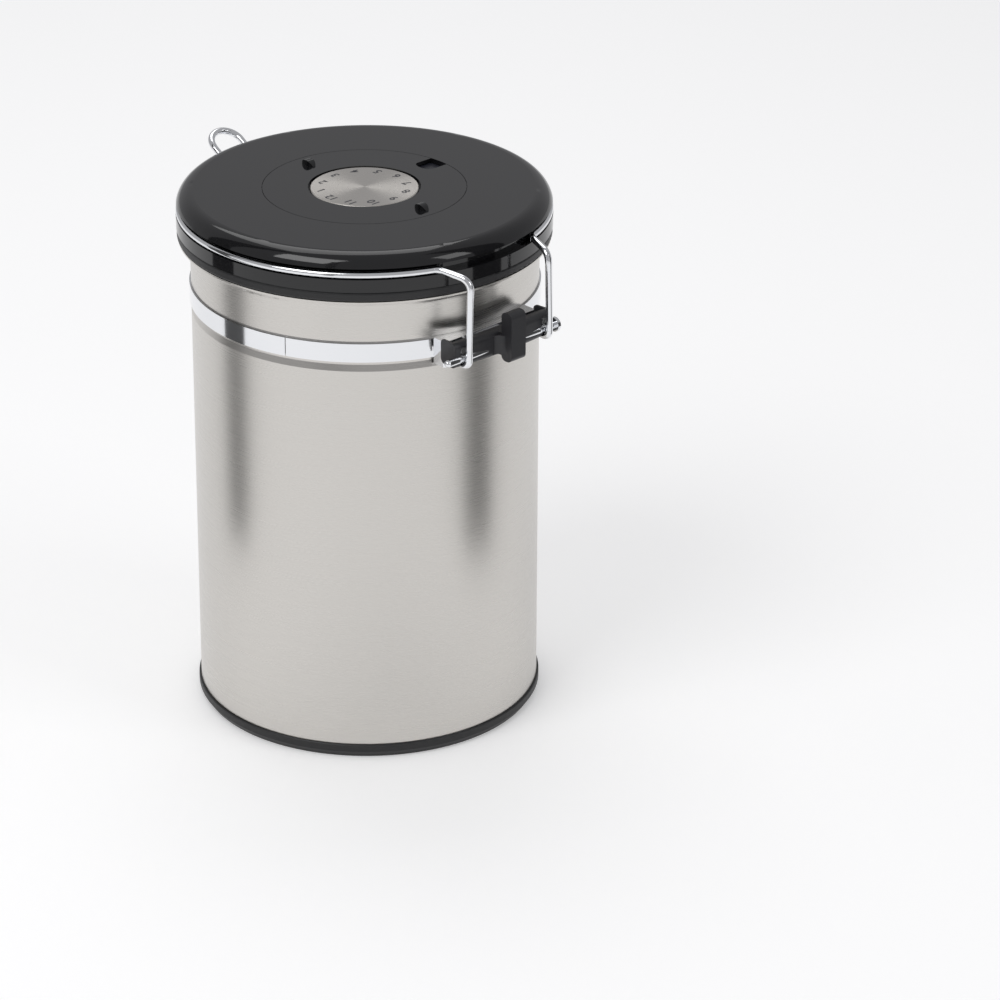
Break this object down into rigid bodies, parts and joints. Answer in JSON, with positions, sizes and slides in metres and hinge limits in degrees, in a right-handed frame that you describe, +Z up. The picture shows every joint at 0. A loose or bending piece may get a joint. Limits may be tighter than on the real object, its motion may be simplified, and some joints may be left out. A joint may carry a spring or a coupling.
{
  "type": "coffee canister with valve",
  "caption": "Round steel food canister with a black lid, one-way valve, date dial, wire clamp and latch lever.",
  "frame": {"origin": "centre of the foot ring's underside, on the surface it stands on", "axes": "+Z up along the can's axis, -Y towards the latch lever, +Y towards the lid's hinge"},
  "size_m": [0.127, 0.1515, 0.1875],
  "materials": {
    "body_steel": "circumferentially brushed",
    "dial_steel": "spun",
    "bright_steel": "polished",
    "fasteners": "plain",
    "lid_black": "moulded",
    "lever_black": "satin",
    "plug_black": "moulded",
    "dial_dark": "plain",
    "valve_white": "moulded",
    "seal_black": "moulded",
    "flap_red": "silicone",
    "felt": "felt"
  },
  "bodies": {
    "can": {"can_body": "body_steel", "can_bottom": "body_steel", "foot_ring": "seal_black", "strap": "bright_steel", "latch_bracket": "bright_steel", "latch_rivets": "fasteners", "hinge_bracket": "bright_steel", "hinge_rivets": "fasteners", "hinge_pin": "fasteners"},
    "lid": {"hinge_leaf": "bright_steel", "rear_loop": "bright_steel", "clamp_wire": "bright_steel", "lid_cap": "lid_black", "lid_skirt": "lid_black", "lid_plug": "plug_black", "gasket": "seal_black", "lid_screws": "fasteners", "date_plate": "dial_dark", "valve_seat": "valve_white", "valve_cage": "valve_white", "valve_filter": "felt", "valve_grille": "plug_black"},
    "dial_ring": {"date_ring": "lid_black"},
    "dial_disc": {"month_disc": "dial_steel", "disc_clip": "fasteners"},
    "flap": {"valve_flap": "flap_red"},
    "lever": {"lever_grip": "lever_black", "lever_pin": "bright_steel", "lever_claw": "bright_steel", "claw_rivets": "fasteners"}
  },
  "joints": [
    {"name": "lid_hinge", "type": "hinge", "parent": "can", "child": "lid", "pos_m": [0, 0.0684, 0.1698], "axis": [-1, 0, 0], "range_deg": [0, 105]},
    {"name": "lever_rock", "type": "hinge", "parent": "lid", "child": "lever", "pos_m": [0, -0.06793, 0.1496], "axis": [-1, 0, 0], "range_deg": [0, 45]},
    {"name": "date_ring_turn", "type": "hinge", "parent": "lid", "child": "dial_ring", "pos_m": [0, 0, 0.185], "axis": [0, 0, 1], "continuous": true},
    {"name": "month_disc_turn", "type": "hinge", "parent": "lid", "child": "dial_disc", "pos_m": [0, 0, 0.185], "axis": [0, 0, 1], "continuous": true},
    {"name": "valve_lift", "type": "slide", "parent": "lid", "child": "flap", "axis": [0, 0, 1], "range_m": [0, 0.0011]}
  ]
}
